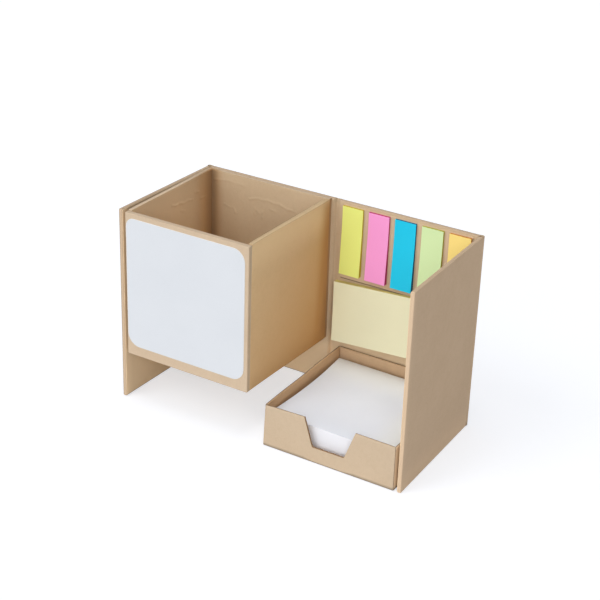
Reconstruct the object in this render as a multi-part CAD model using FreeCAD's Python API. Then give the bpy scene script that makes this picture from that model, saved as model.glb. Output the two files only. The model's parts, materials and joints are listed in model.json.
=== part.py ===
import FreeCAD, Part
import math
import os

from FreeCAD import Vector

# Folding desk cube of wrapped board: an open pen cup on one half, a low memo tray on the other.
# Millimetres. X runs along the back boards, +Y points out of the back, +Z is up, the floor is z = 0.

# ---- driving dimensions -------------------------------------------------------------------
height = 120.0            # of the four cover boards
board = 2.2               # wrapped board
board_round = 0.5         # wrap turned over a board's edges
liner = 0.3               # lining paper on the inner faces
liner_inset = 3.0         # from a board's edges to the lining's edge

fold_skin = 0.5           # wrap and lining together, where a fold has no board in it
fold_slack = 0.29         # paper beyond the width that lets two boards meet at a right angle
crease_gap = 0.1          # from a board's end to the folding strip
spine_bow = -0.35         # the centre strip is pressed in
corner_bow = 0.35         # the corner strips bulge out

memo_side = 76.0          # square memo sheets
memo_stack = 20.0         # thickness of the block
memo_room_left = 1.0      # from the block to the tray's walls
memo_room_right = 4.3
memo_room_back = 2.0
memo_room_front = 3.05
memo_seat_gap = 0.1       # the block lies loose on the tray's floor

tray_wall = 1.2           # card rolled over to two layers
tray_floor = 0.6          # one layer
tray_height = 27.0
tray_back_gap = 0.15
tray_from_fold = 4.3      # clear strip between the centre fold and the tray
slit_width = 0.3          # cut that frees the rolled layers at each corner
notch_floor = 10.0        # finger notch in the tray's front wall
notch_half_top = 16.1
notch_half_bottom = 9.7
notch_corner = 1.5
notch_offset = 0.8        # towards +X of the tray's middle

panel_gap = 0.15          # side panel to cup or tray when it is pressed shut
left_splay = 1.4          # degrees that each side panel springs open at rest
right_splay = 1.25
front_gap = 2.85          # closed: left panel in front of the tray
closing_gap = 3.75        # closed: cup's front to the right panel
lid_gap = 3.0             # closed: cup's underside above the tray's rim
cup_from_fold = 3.4       # cup's right side to the end of its back board

cup_front = 3.2           # board thicknesses of the cup
cup_side = 2.4
cup_back = 2.0
cup_floor = 2.0
cup_round = 0.4

label_thick = 0.3
label_corner = 7.8
label_side_margin = 1.1
label_inner_margin = 2.3
label_top_margin = 2.0
label_bottom_margin = 6.2

card_thick = 0.5          # kraft card behind the page markers
card_corner = 1.0
card_side_margin = 0.4    # card beyond the markers
card_low_margin = 3.8
card_top_margin = 1.4
marker_count = 5
marker_width = 13.4
marker_length = 42.2
marker_thick = 1.2
marker_gum = 12.0         # glued length at the top, the rest stands off the card
marker_lift = 1.0         # of the lower end
marker_top_margin = 2.0
marker_first_x = 3.3      # from the end of the back board to the first marker
marker_last_x = 3.4       # from the last marker to the right panel's lining

pad_thick = 2.0           # wide sticky pad under the markers
pad_corner = 0.4
pad_width = 76.0
pad_above_tray = 3.1      # at its left end
pad_below_card = 3.7
pad_first_x = 0.1
pad_tilt = 2.0            # degrees, right end up

# ---- what follows from them ---------------------------------------------------------------
fold_width = board * math.sqrt(2) + fold_slack
fold_step = fold_width / math.sqrt(2)       # how far a fold at 45 degrees carries across

tray_crease = 0.65 * tray_wall              # rounding where the walls fold up
tray_foot_crease = tray_crease / 2          # sharper where the floor meets them
tray_rim = 0.45 * tray_wall                 # card rolled over at the top of a wall
slit_reach = 0.75 * tray_wall               # how deep a corner slit goes into the walls
tray_width = memo_room_left + memo_side + memo_room_right + 2 * tray_wall
tray_depth = memo_room_back + memo_side + memo_room_front + 2 * tray_wall

pen_end = cup_from_fold                     # x where the left back board ends
memo_end = pen_end + fold_width             # x where the right back board starts
tray_left = memo_end + tray_from_fold
tray_right = tray_left + tray_width
tray_back = -liner - tray_back_gap
tray_front = tray_back - tray_depth

right_inner = tray_right + panel_gap + liner            # right side board, pressed shut
right_end = right_inner - (fold_step - board)
side_back = board - fold_step               # y where both side boards start, pressed shut

closed_plane = memo_end - fold_step + board             # left board's inner face, folded shut
cup_depth = right_inner - liner - closing_gap - closed_plane - label_thick - liner
cup_rear = -liner
cup_face = cup_rear - cup_depth
cup_width = -tray_front + front_gap - (fold_step - board) - cup_from_fold - panel_gap
cup_bottom = tray_height + lid_gap
left_inner = -cup_width - panel_gap - liner             # left side board, pressed shut
left_end = left_inner + (fold_step - board)

memo_left = tray_left + tray_wall + memo_room_left
memo_back = tray_back - tray_wall - memo_room_back
memo_bottom = tray_floor + memo_seat_gap

marker_span = right_inner - liner - marker_last_x - memo_end - marker_first_x
marker_pitch = (marker_span - marker_width) / (marker_count - 1)
marker_left = memo_end + marker_first_x
marker_top = height - marker_top_margin
marker_bottom = marker_top - marker_length
card_bottom = marker_bottom - card_low_margin

overcut = 1.0             # how far a cutter runs past the face that it opens
same_place = 1e-6         # closer than this, two heights are one
parallel = 0.999          # cosine over which two directions are one


# ---- helpers ------------------------------------------------------------------------------
def box(x0, x1, y0, y1, z0, z1):
    return Part.makeBox(x1 - x0, y1 - y0, z1 - z0, Vector(x0, y0, z0))


def rounded_box(x0, x1, y0, y1, z0, z1, radius):
    """A board whose wrap rounds every edge."""
    solid = box(x0, x1, y0, y1, z0, z1)
    return solid.makeFillet(radius, solid.Edges)


def round_upright_edges(solid, along, radius):
    """Rounds the edges that run along one direction."""
    chosen = [edge for edge in solid.Edges
              if abs(edge.tangentAt(edge.FirstParameter).dot(along)) > parallel]
    return solid.makeFillet(radius, chosen)


def wall_sheet(x0, x1, z0, z1, y_back, thick, corner):
    """A sheet or pad on a wall, its corners rounded as they are seen from the front."""
    return round_upright_edges(box(x0, x1, y_back - thick, y_back, z0, z1), Vector(0, 1, 0), corner)


def turned(solid, x, y, degrees):
    copy = solid.copy()
    copy.rotate(Vector(x, y, 0), Vector(0, 0, 1), degrees)
    return copy


def turned_point(x, y, about_x, about_y, degrees):
    angle = math.radians(degrees)
    dx, dy = x - about_x, y - about_y
    return (about_x + dx * math.cos(angle) - dy * math.sin(angle),
            about_y + dx * math.sin(angle) + dy * math.cos(angle))


# ---- the folding cover --------------------------------------------------------------------
def fold_strip(bow):
    """Paper between two boards. It lies along +X from (0, 0) to (fold_width, 0), outside towards
    +Y, and its ends slope at 45 degrees so that a board can fold in on each side."""
    middle = fold_width / 2
    near, far = crease_gap, fold_width - crease_gap
    outer_near, outer_far = Vector(near, 0, 0), Vector(far, 0, 0)
    inner_near = Vector(near + fold_skin, -fold_skin, 0)
    inner_far = Vector(far - fold_skin, -fold_skin, 0)
    outline = [
        Part.Arc(outer_near, Vector(middle, bow, 0), outer_far).toShape(),
        Part.LineSegment(outer_far, inner_far).toShape(),
        Part.Arc(inner_far, Vector(middle, bow - fold_skin, 0), inner_near).toShape(),
        Part.LineSegment(inner_near, outer_near).toShape(),
    ]
    return Part.Face(Part.Wire(outline)).extrude(Vector(0, 0, height))


def placed_strip(bow, x, y, degrees):
    strip = turned(fold_strip(bow), 0, 0, degrees)
    strip.translate(Vector(x, y, 0))
    return strip


def back_board(x0, x1):
    return rounded_box(x0, x1, 0, board, 0, height, board_round)


def back_lining(x0, x1):
    return box(x0 + liner_inset, x1 - liner_inset, -liner, 0, liner_inset, height - liner_inset)


def side_board(inner_x, outward):
    outer_x = inner_x + outward * board
    return rounded_box(min(inner_x, outer_x), max(inner_x, outer_x), tray_front, side_back,
                       0, height, board_round)


def side_lining(inner_x, outward):
    skin_x = inner_x - outward * liner
    return box(min(inner_x, skin_x), max(inner_x, skin_x), tray_front + liner_inset,
               side_back - liner_inset, liner_inset, height - liner_inset)


def sprung_open(solid, end_x, outward, splay):
    """Opens a side panel by half its splay at each of its two creases."""
    half = outward * splay / 2
    once = turned(solid, end_x + outward * fold_step, side_back, half)
    return turned(once, end_x, board, half)


def right_corner_strip():
    shut = placed_strip(corner_bow, right_end, board, -45)
    return turned(shut, right_end, board, right_splay / 2)


def left_corner_strip():
    shut = placed_strip(corner_bow, left_end - fold_step, side_back, 45)
    return turned(shut, left_end, board, -left_splay / 2)


# ---- the pen cup --------------------------------------------------------------------------
def cup_boards():
    face_inner = cup_face + cup_front
    rear_inner = cup_rear - cup_back
    floor_top = cup_bottom + cup_floor

    def upright(x0, x1, y0, y1):
        return rounded_box(x0, x1, y0, y1, cup_bottom, height, cup_round)

    return {
        "cup_front_wall": upright(-cup_width, 0, cup_face, face_inner),
        "cup_back_wall": upright(-cup_width, 0, rear_inner, cup_rear),
        "cup_right_wall": upright(-cup_side, 0, face_inner, rear_inner),
        "cup_left_wall": upright(-cup_width, -cup_width + cup_side, face_inner, rear_inner),
        "cup_floor": box(-cup_width + cup_side, -cup_side, face_inner, rear_inner,
                         cup_bottom, floor_top),
    }


def front_label():
    return wall_sheet(-cup_width + label_side_margin, -label_inner_margin,
                      cup_bottom + label_bottom_margin, height - label_top_margin,
                      cup_face, label_thick, label_corner)


# ---- the memo tray ------------------------------------------------------------------------
def notch_cutter():
    """Trapezoid with rounded lower corners, cut through the tray's front wall."""
    middle = (tray_left + tray_right) / 2 + notch_offset
    over = tray_height + overcut
    slope = (notch_half_top - notch_half_bottom) / (tray_height - notch_floor)
    half_over = notch_half_top + slope * (over - tray_height)
    y = tray_front - overcut
    corners = [Vector(middle - half_over, y, over), Vector(middle - notch_half_bottom, y, notch_floor),
               Vector(middle + notch_half_bottom, y, notch_floor), Vector(middle + half_over, y, over)]
    blank = Part.Face(Part.makePolygon(corners + corners[:1])).extrude(Vector(0, tray_wall + 2 * overcut, 0))
    low = [edge for edge in blank.Edges
           if all(abs(vertex.Point.z - notch_floor) < same_place for vertex in edge.Vertexes)
           and abs(edge.tangentAt(edge.FirstParameter).y) > parallel]
    return blank.makeFillet(notch_corner, low)


def corner_slit(x, y, degrees):
    """Diagonal cut through the rolled inner layer, from an inside corner towards the outside."""
    slit = box(-slit_reach, slit_reach, -slit_width / 2, slit_width / 2,
               tray_floor + tray_crease, tray_height + overcut)
    slit.rotate(Vector(0, 0, 0), Vector(0, 0, 1), degrees)
    slit.translate(Vector(x, y, 0))
    return slit


def memo_tray():
    tub = box(tray_left, tray_right, tray_front, tray_back, 0, tray_height)
    tub = round_upright_edges(tub, Vector(0, 0, 1), tray_crease)
    under = [edge for edge in tub.Edges
             if all(abs(vertex.Point.z) < same_place for vertex in edge.Vertexes)]
    tub = tub.makeFillet(tray_foot_crease, under)
    inside = box(tray_left + tray_wall, tray_right - tray_wall, tray_front + tray_wall,
                 tray_back - tray_wall, tray_floor, tray_height + overcut)
    tub = tub.cut(inside)
    rim = [edge for edge in tub.Edges
           if all(abs(vertex.Point.z - tray_height) < same_place for vertex in edge.Vertexes)]
    tub = tub.makeFillet(tray_rim, rim)
    slits = [corner_slit(x, y, degrees) for x, y, degrees in (
        (tray_left + tray_wall, tray_front + tray_wall, 45),
        (tray_right - tray_wall, tray_front + tray_wall, -45),
        (tray_left + tray_wall, tray_back - tray_wall, -45),
        (tray_right - tray_wall, tray_back - tray_wall, 45))]
    return tub.cut([notch_cutter()] + slits)


def memo_block():
    return box(memo_left, memo_left + memo_side, memo_back - memo_side, memo_back,
               memo_bottom, memo_bottom + memo_stack)


# ---- page markers and sticky pad ----------------------------------------------------------
def marker_card():
    return wall_sheet(marker_left - card_side_margin, marker_left + marker_span + card_side_margin,
                      card_bottom, height - card_top_margin, -liner, card_thick, card_corner)


def marker(index):
    """Glued to the card at its upper end, standing off towards the lower one."""
    x0 = marker_left + index * marker_pitch
    back = -liner - card_thick
    bend = marker_top - marker_gum
    outline = [(back, marker_top), (back, bend), (back - marker_lift, marker_bottom),
               (back - marker_lift - marker_thick, marker_bottom),
               (back - marker_thick, bend), (back - marker_thick, marker_top)]
    corners = [Vector(x0, y, z) for y, z in outline]
    return Part.Face(Part.makePolygon(corners + corners[:1])).extrude(Vector(marker_width, 0, 0))


def sticky_pad():
    left = memo_end + pad_first_x
    top = card_bottom - pad_below_card
    pad = wall_sheet(left, left + pad_width, tray_height + pad_above_tray, top,
                     -liner, pad_thick, pad_corner)
    pad.rotate(Vector(left, 0, top), Vector(0, 1, 0), -pad_tilt)
    return pad


# ---- the assembly -------------------------------------------------------------------------
def all_parts():
    parts = {
        "back_board_left": back_board(left_end, pen_end),
        "back_board_right": back_board(memo_end, right_end),
        "side_board_left": sprung_open(side_board(left_inner, -1), left_end, -1, left_splay),
        "side_board_right": sprung_open(side_board(right_inner, 1), right_end, 1, right_splay),
        "lining_back_left": back_lining(left_end, pen_end),
        "lining_back_right": back_lining(memo_end, right_end),
        "lining_side_left": sprung_open(side_lining(left_inner, -1), left_end, -1, left_splay),
        "lining_side_right": sprung_open(side_lining(right_inner, 1), right_end, 1, right_splay),
        "centre_fold_strip": placed_strip(spine_bow, pen_end, board, 0),
        "left_fold_strip": left_corner_strip(),
        "right_fold_strip": right_corner_strip(),
        "cup_front_label": front_label(),
        "memo_tray": memo_tray(),
        "memo_block": memo_block(),
        "marker_card": marker_card(),
        "sticky_pad": sticky_pad(),
    }
    parts.update(cup_boards())
    for index, colour in enumerate(("yellow", "pink", "blue", "green", "orange")[:marker_count]):
        parts["marker_" + colour] = marker(index)
    return parts


def fold_axis(near, far, degrees):
    """The one axis that takes a board where two creases take it, each of them turned by degrees.
    It lies beside the middle of the strip, towards the inside of the fold."""
    along_x, along_y = far[0] - near[0], far[1] - near[1]
    depth = math.tan(math.radians(degrees) / 2) / 2
    return (near[0] + along_x / 2 - along_y * depth, near[1] + along_y / 2 + along_x * depth)


def fold_lines():
    """Seen from above with the side panels at rest: where each strip turns on its own board, and
    the axis about which the next board swings."""
    left_near, right_near = (left_end, board), (right_end, board)
    centre_near, centre_far = (memo_end, board), (pen_end, board)
    left_far = turned_point(left_end - fold_step, side_back, left_end, board, -left_splay / 2)
    right_far = turned_point(right_end + fold_step, side_back, right_end, board, right_splay / 2)
    return {"centre strip": centre_near, "pen half": fold_axis(centre_near, centre_far, 45),
            "left strip": left_near,
            "left panel": fold_axis(left_near, left_far, left_splay / 2 - 45),
            "right strip": right_near,
            "right panel": fold_axis(right_near, right_far, 45 - right_splay / 2)}


def main():
    os.makedirs("parts", exist_ok=True)
    parts = all_parts()
    whole = Part.makeCompound(list(parts.values())).optimalBoundingBox(False, False)
    middle_x = (whole.XMin + whole.XMax) / 2
    middle_y = (whole.YMin + whole.YMax) / 2
    for name, solid in parts.items():
        solid.translate(Vector(-middle_x, -middle_y, 0))
        solid.exportStep("parts/" + name + ".step")
    print("overall %.2f x %.2f x %.2f" % (whole.XLength, whole.YLength, whole.ZLength))
    print("origin moved by %.4f, %.4f" % (-middle_x, -middle_y))
    for name, (x, y) in fold_lines().items():
        print("axis %s: %.4f, %.4f" % (name, x - middle_x, y - middle_y))


main()
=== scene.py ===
import json
import math
import random

import bmesh
import bpy
from mathutils import Matrix, Vector, noise


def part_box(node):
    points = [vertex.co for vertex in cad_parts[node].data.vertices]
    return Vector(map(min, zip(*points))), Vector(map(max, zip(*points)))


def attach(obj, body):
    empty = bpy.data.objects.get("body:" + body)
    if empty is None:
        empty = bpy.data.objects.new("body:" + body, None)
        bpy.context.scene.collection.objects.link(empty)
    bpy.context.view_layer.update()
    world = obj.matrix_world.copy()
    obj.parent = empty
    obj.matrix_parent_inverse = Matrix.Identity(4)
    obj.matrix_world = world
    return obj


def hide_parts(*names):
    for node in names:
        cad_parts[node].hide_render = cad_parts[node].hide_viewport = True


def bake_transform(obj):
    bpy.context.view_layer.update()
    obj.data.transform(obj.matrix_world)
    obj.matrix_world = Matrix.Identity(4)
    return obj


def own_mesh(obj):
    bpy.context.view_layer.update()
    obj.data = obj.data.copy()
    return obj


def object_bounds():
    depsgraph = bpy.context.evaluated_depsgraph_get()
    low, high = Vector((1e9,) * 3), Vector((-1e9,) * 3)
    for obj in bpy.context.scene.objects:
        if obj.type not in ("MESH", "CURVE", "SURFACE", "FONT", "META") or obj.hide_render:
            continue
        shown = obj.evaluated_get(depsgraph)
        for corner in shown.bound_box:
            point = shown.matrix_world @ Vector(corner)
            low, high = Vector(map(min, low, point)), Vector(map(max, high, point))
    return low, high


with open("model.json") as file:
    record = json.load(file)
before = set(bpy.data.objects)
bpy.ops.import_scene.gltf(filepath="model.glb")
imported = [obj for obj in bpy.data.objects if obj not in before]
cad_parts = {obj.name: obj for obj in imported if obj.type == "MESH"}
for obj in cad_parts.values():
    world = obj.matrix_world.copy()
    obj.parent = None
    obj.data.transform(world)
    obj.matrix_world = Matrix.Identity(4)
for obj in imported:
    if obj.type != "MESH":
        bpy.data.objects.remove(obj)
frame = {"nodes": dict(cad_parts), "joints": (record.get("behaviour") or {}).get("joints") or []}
cadLow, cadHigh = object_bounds()
print("frame loaded, CAD box", [round(v, 4) for v in cadHigh - cadLow])

mm = 0.001
sceneNow = bpy.context.scene


def newObject(name, data):
    made = bpy.data.objects.new(name, data)
    sceneNow.collection.objects.link(made)
    return made


def lengths(**sizes):
    # a size, or a few of them, given in millimetres under each name
    return {name: tuple(v * mm for v in size) if isinstance(size, tuple) else size * mm
            for name, size in sizes.items()}


# colours and paper finishes


def paint(red, green, blue):
    def linear(value):
        value /= 255
        return value / 12.92 if value <= 0.04045 else ((value + 0.055) / 1.055) ** 2.4
    return (linear(red), linear(green), linear(blue), 1)


def tinted(colour, tint):
    return paint(*[min(255, channel * part) for channel, part in zip(colour, tint)])


def addNode(tree, kind, settings=None, **sockets):
    node = tree.nodes.new("ShaderNode" + kind)
    for key, value in (settings or {}).items():
        setattr(node, key, value)
    for key, value in sockets.items():
        node.inputs[key].default_value = value
    return node


def join(source, out, target, into):
    target.id_data.links.new(source.outputs[out], target.inputs[into])


def mixColour(tree, under, over, share):
    # under is a colour or another colour mix; sockets 0, 6, 7 are the share and the colours, 2 is the result
    mix = addNode(tree, "Mix", {"data_type": "RGBA"})
    if isinstance(under, bpy.types.Node):
        join(under, 2, mix, 6)
    else:
        mix.inputs[6].default_value = under
    mix.inputs[7].default_value = over
    tree.links.new(share, mix.inputs[0])
    return mix


def mathNode(tree, operation, source, value=0.0):
    node = addNode(tree, "Math", {"operation": operation})
    join(source, 0, node, 0)
    node.inputs[1].default_value = value
    return node


def noiseAt(tree, place, scale, detail, roughness, turn=(0, 0, 0), stretch=(1, 1, 1)):
    spot = addNode(tree, "Mapping", Rotation=turn, Scale=stretch)
    join(place, "Object", spot, "Vector")
    texture = addNode(tree, "TexNoise", Scale=scale, Detail=detail, Roughness=roughness)
    join(spot, 0, texture, "Vector")
    return texture


def paper(name, colour, look, marks):
    # marks are colours that show where the mesh carries these marks
    material = bpy.data.materials.new(name)
    material.use_nodes = True
    tree = material.node_tree
    place = addNode(tree, "TexCoord")
    patterns = [noiseAt(tree, place, *pattern) for pattern in look["patterns"]]
    body = paint(*colour)
    for index, low, high, share, tint in look["layers"]:
        spread = addNode(tree, "MapRange", **{"From Min": low, "From Max": high})
        join(patterns[index], 0, spread, "Value")
        body = mixColour(tree, body, tinted(colour, tint), mathNode(tree, "MULTIPLY", spread, share).outputs[0])
    for mark, tone in marks.items():
        spot = addNode(tree, "Attribute", {"attribute_name": mark})
        body = mixColour(tree, body, tone, spot.outputs["Fac"])
    relief, *more = [patterns[index] for index in look["relief"]]
    for texture in more:
        relief = mathNode(tree, "ADD", relief)
        join(texture, 0, relief, 1)
    bump = addNode(tree, "Bump", Strength=look["grainStrength"], Distance=look["grainHeight"])
    join(relief, 0, bump, "Height")
    shader = tree.nodes["Principled BSDF"]
    shader.inputs["Roughness"].default_value = look["roughness"]
    shader.inputs["Specular IOR Level"].default_value = look["specular"]
    join(body, 2, shader, "Base Color")
    join(bump, 0, shader, "Normal")
    return material


fibreTones = [(0.56, 0.72, 0.09, (0.86, 0.83, 0.78)), (0.44, 0.30, 0.09, (1.06, 1.07, 1.09))]

kraftLook = {
    "roughness": 0.82, "specular": 0.25, "relief": (2, 3), "grainStrength": 0.55, "grainHeight": 0.02 * mm,
    # scale, detail, roughness, turn and stretch: slow change of tone, patches of a few millimetres, fibres
    # pressed into the paper, which lie three ways, and dark specks
    "patterns": [
        (60, 4, 0.6), (330, 3, 0.55), (1500, 3, 0.55, (0.3, 0.2, 0.9), (1, 0.4, 1)),
        (1500, 3, 0.55, (0.9, 0.5, -0.7), (0.4, 1, 1)), (1500, 3, 0.55, (-0.4, 0.8, 0.3), (1, 1, 0.4)),
        (2300, 1, 0.5),
    ],
    # pattern, where its tint begins and where it is full, share, tint
    "layers": [
        (0, 0.35, 0.7, 0.30, (0.94, 0.925, 0.90)), (1, 0.45, 0.75, 0.16, (0.90, 0.88, 0.85)),
        *[(index, *tone) for index in (2, 3, 4) for tone in fibreTones],
        (5, 0.70, 0.76, 0.22, (0.74, 0.68, 0.60)),
    ],
    "warmTone": (0.84, 0.725, 0.58),     # painted warm shade: shade and kraft-coloured bounce light
    "paleTone": 1.2,                     # paler paper: painted light, and the paler front edges of the side panels
    "shadeAndJointColour": (112, 99, 84),         # darker paper: painted shade lines along feet, rims, folds and the card's edge, painted shade in corners, and the wrap's dark joint
    # one kraft paper in tones set one by one for how light falls on each part: painted light and shade; cutKraft
    # is darker, for the cut faces
    "colours": {
        "coverKraft": (203, 178, 150), "liningKraft": (206, 183, 152), "cupKraft": (208, 186, 160),
        "cupInsideKraft": (228, 200, 163), "cupBackKraft": (213, 190, 158), "cupSideKraft": (234, 204, 160),
        "trayKraft": (203, 182, 156), "trayInsideKraft": (213, 182, 148), "cutKraft": (142, 112, 82),
        "cardKraft": (213, 188, 158),
    },
}

smoothLook = {
    "relief": (1,), "grainStrength": 0.4, "grainHeight": 0.03 * mm,
    "patterns": [(30, 3, 0.5), (1900, 3, 0.6)],     # clouds and tooth
    "clouds": (0, 0.35, 0.7), "cloudTint": (0.97, 0.972, 0.975),
    "tooth": (1, 0.55, 0.75, 0.35, (0.955, 0.955, 0.95)),
    # colour, roughness, specular, share of the clouds, colour where it is marked as pale
    "kinds": {
        # labelEdge: lighter sides, a painted highlight on the label's edge; memoPaper's last colour: painted
        # light on the margins of the top sheets
        "labelPaper": ((218, 222, 228), 0.55, 0.35, 0.4), "labelEdge": ((236, 236, 236), 0.6, 0.3, 0.4),
        "memoPaper": ((233, 239, 251), 0.75, 0.2, 0.5, (247, 252, 255)),
        "memoEdge": ((240, 241, 247), 0.75, 0.2, 0.5),
        "padPaper": ((243, 241, 206), 0.7, 0.25, 0.5), "padEdge": ((226, 214, 136), 0.7, 0.25, 0.5),
    },
}

papers = {}


def kraftPaper(name, colour):
    light = min(kraftLook["paleTone"], 255 / max(colour))
    marks = {"warm": tinted(colour, kraftLook["warmTone"]), "pale": tinted(colour, (light,) * 3),
             "edge": paint(*kraftLook["shadeAndJointColour"])}
    papers[name] = paper(name, colour, kraftLook, marks)


def smoothPaper(name, colour, roughness, specular, share, pale=None):
    layers = [(*smoothLook["clouds"], share, smoothLook["cloudTint"]), smoothLook["tooth"]]
    look = dict(smoothLook, roughness=roughness, specular=specular, layers=layers)
    papers[name] = paper(name, colour, look, {"pale": paint(*pale)} if pale else {})


for name, colour in kraftLook["colours"].items():
    kraftPaper(name, colour)
for name, kind in smoothLook["kinds"].items():
    smoothPaper(name, *kind)
print("finishes made")

# mesh helpers


sharpAngle = math.radians(44)


def makePiece(name, shape, finishes, node, body=None, marks=None):
    # shape is its points, which stay inside the CAD box, its faces and which finish each face has
    points, faces, kinds = shape
    mesh = bpy.data.meshes.new(name)
    mesh.from_pydata([[min(max(p[a], cadLow[a]), cadHigh[a]) for a in range(3)] for p in points], [], faces)
    for finish in finishes:
        mesh.materials.append(papers[finish])
    if len(finishes) > 1:
        mesh.polygons.foreach_set("material_index", kinds)
    for mark, values in (marks or {}).items():
        mesh.attributes.new(mark, "FLOAT", "POINT").data.foreach_set("value", values)
    work = bmesh.new()
    work.from_mesh(mesh)
    bmesh.ops.recalc_face_normals(work, faces=work.faces)
    work.to_mesh(mesh)
    work.free()
    mesh.shade_smooth()
    mesh.set_sharp_from_angle(angle=sharpAngle)
    mesh.validate()
    piece = newObject(name, mesh)
    if body:
        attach(piece, body)
    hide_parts(node)
    return piece


def smoothStep(value):
    value = min(1, max(0, value))
    return value * value * (3 - 2 * value)


def fade(value, start, full):
    # 0 before start, 1 from full on, whichever way round they lie
    return smoothStep((value - start) / (full - start))


def bell(value, width):
    return math.exp(-(value / width) ** 2)


def between(value, places):
    # straight lines through (place, amount) pairs
    for (x0, a0), (x1, a1) in zip(places, places[1:]):
        if value <= x1:
            return a0 + (a1 - a0) * min(1, max(0, (value - x0) / (x1 - x0)))
    return places[-1][1]


holdRow = 0.35 * mm                # a row beside each rounding keeps the flat faces flat
roundingRows = (0, 0.29, 0.59)     # rows through a rounding, as shares of its radius


def cuts(length, radius, pitch, fineLength=0, finePitch=0):
    # places along one side of a slab: through the rounding, then evenly, finer along its last part
    flat = length - 2 * radius - fineLength
    count = max(1, round(flat / pitch))
    even = [radius + flat * i / count for i in range(count + 1)]
    if fineLength:
        count = round(fineLength / finePitch)
        even += [radius + flat + fineLength * i / count for i in range(1, count + 1)]
    if length - 2 * radius > 3 * holdRow:
        even = [radius, radius + holdRow] + even[1:-1] + [length - radius - holdRow, length - radius]
    turn = [radius * share for share in roundingRows]
    return turn + even + [length - v for v in reversed(turn)]


def roundedSlab(size, radius, pitch, fine=None):
    # a box with rounded edges and an even grid on every face, lowest corner at the origin
    places = [cuts(side, radius, pitch) for side in size]
    if fine:
        places[0] = cuts(size[0], radius, fine[1])
        places[2] = cuts(size[2], radius, pitch, *fine)
    last = [len(p) - 1 for p in places]
    points, known, faces, sides = [], {}, [], []

    def at(key):
        if key not in known:
            raw = [places[a][key[a]] for a in range(3)]
            core = Vector([min(max(raw[a], radius), size[a] - radius) for a in range(3)])
            known[key] = len(points)
            points.append(core + (Vector(raw) - core).normalized() * radius)
        return known[key]

    for axis in range(3):
        one, two = [a for a in range(3) if a != axis]
        for side in (0, last[axis]):
            for i in range(last[one]):
                for j in range(last[two]):
                    ring = []
                    for di, dj in ((0, 0), (1, 0), (1, 1), (0, 1)):
                        key = [0, 0, 0]
                        key[axis], key[one], key[two] = side, i + di, j + dj
                        ring.append(at(tuple(key)))
                    faces.append(ring)
                    sides.append((axis, side > 0))
    return points, faces, sides


cornerAngles = [math.radians(a) for a in (90, 76, 62, 48, 34, 17, 0)]
tiny = 1e-6


def sheetMesh(width, height, look, trims, where):
    # a closed flat piece as a stack of levels, each drawn in by its trim: a grid on the first and last level,
    # rings of side faces between all; where() places a point; corners: low left, low right, high left, high right
    radii, pitch = look.get("corners") or (look["corner"],) * 4, look["pitch"]
    lowR, highR = max(radii[:2]), max(radii[2:])
    flat = height - lowR - highR
    count, rise = max(2, round(width / pitch)), max(2, round(flat / pitch))
    columns = [0, holdRow / width] + [i / count for i in range(1, count)] + [1 - holdRow / width, 1]
    shares = [holdRow / flat] + [i / rise for i in range(1, rise)] + [1 - holdRow / flat]
    rows = [("low", a) for a in cornerAngles] + [("flat", s) for s in shares]
    rows += [("high", a) for a in reversed(cornerAngles)]
    right, top = len(columns) - 1, len(rows) - 1
    ring = [(j, 0) for j in range(right + 1)] + [(right, k) for k in range(1, top + 1)]
    ring += [(j, top) for j in range(right - 1, -1, -1)] + [(0, k) for k in range(top - 1, 0, -1)]
    points, known, faces, kinds = [], {}, [], []

    def inset(radius, depth):
        radius = max(radius, tiny)
        return radius - math.sqrt(max(0, radius ** 2 - (radius - depth) ** 2)) if depth < radius else 0

    def place(j, k, trim):
        kind, value = rows[k]
        if kind == "low":
            z = trim + max(lowR - trim, tiny) * (1 - math.sin(value))
        elif kind == "high":
            z = height - trim - max(highR - trim, tiny) * (1 - math.sin(value))
        else:
            z = lowR + value * flat
        first, last = [trim + max(inset(radii[side] - trim, z - trim),
                                  inset(radii[side + 2] - trim, height - trim - z)) for side in (0, 1)]
        return first + columns[j] * (width - last - first), z

    def addFace(kind, *corners):
        for j, k, level in corners:
            if (j, k, level) not in known:
                known[j, k, level] = len(points)
                inner = 0 < j < right and 0 < k < top
                points.append(where(*place(j, k, trims[level]), level, inner))
        faces.append([known[key] for key in corners])
        kinds.append(kind)

    for level in (0, len(trims) - 1):
        for j in range(right):
            for k in range(top):
                addFace(0, (j, k, level), (j + 1, k, level), (j + 1, k + 1, level), (j, k + 1, level))
    for level in range(len(trims) - 1):
        for one, two in zip(ring, ring[1:] + ring[:1]):
            addFace(1, (*one, level), (*two, level), (*two, level + 1), (*one, level + 1))
    return points, faces, kinds


def tubeFaces(count, ring, kindOf):
    # a closed tube of so many rings: quads between the rings, a strip across each end
    spans = [(r, c) for r in range(count - 1) for c in range(ring)]
    faces = [[r * ring + c, r * ring + (c + 1) % ring, (r + 1) * ring + (c + 1) % ring, (r + 1) * ring + c]
             for r, c in spans]
    ends = [[c, c + 1, ring - 2 - c, ring - 1 - c] for c in range(ring // 2 - 1)]
    if ring % 2:
        ends.append([ring // 2 - 1, ring // 2, ring // 2 + 1])
    faces += [[first + v for v in end] for first in (0, (count - 1) * ring) for end in ends]
    return faces, [kindOf(r, c) for r, c in spans] + [0] * 2 * len(ends)


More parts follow.
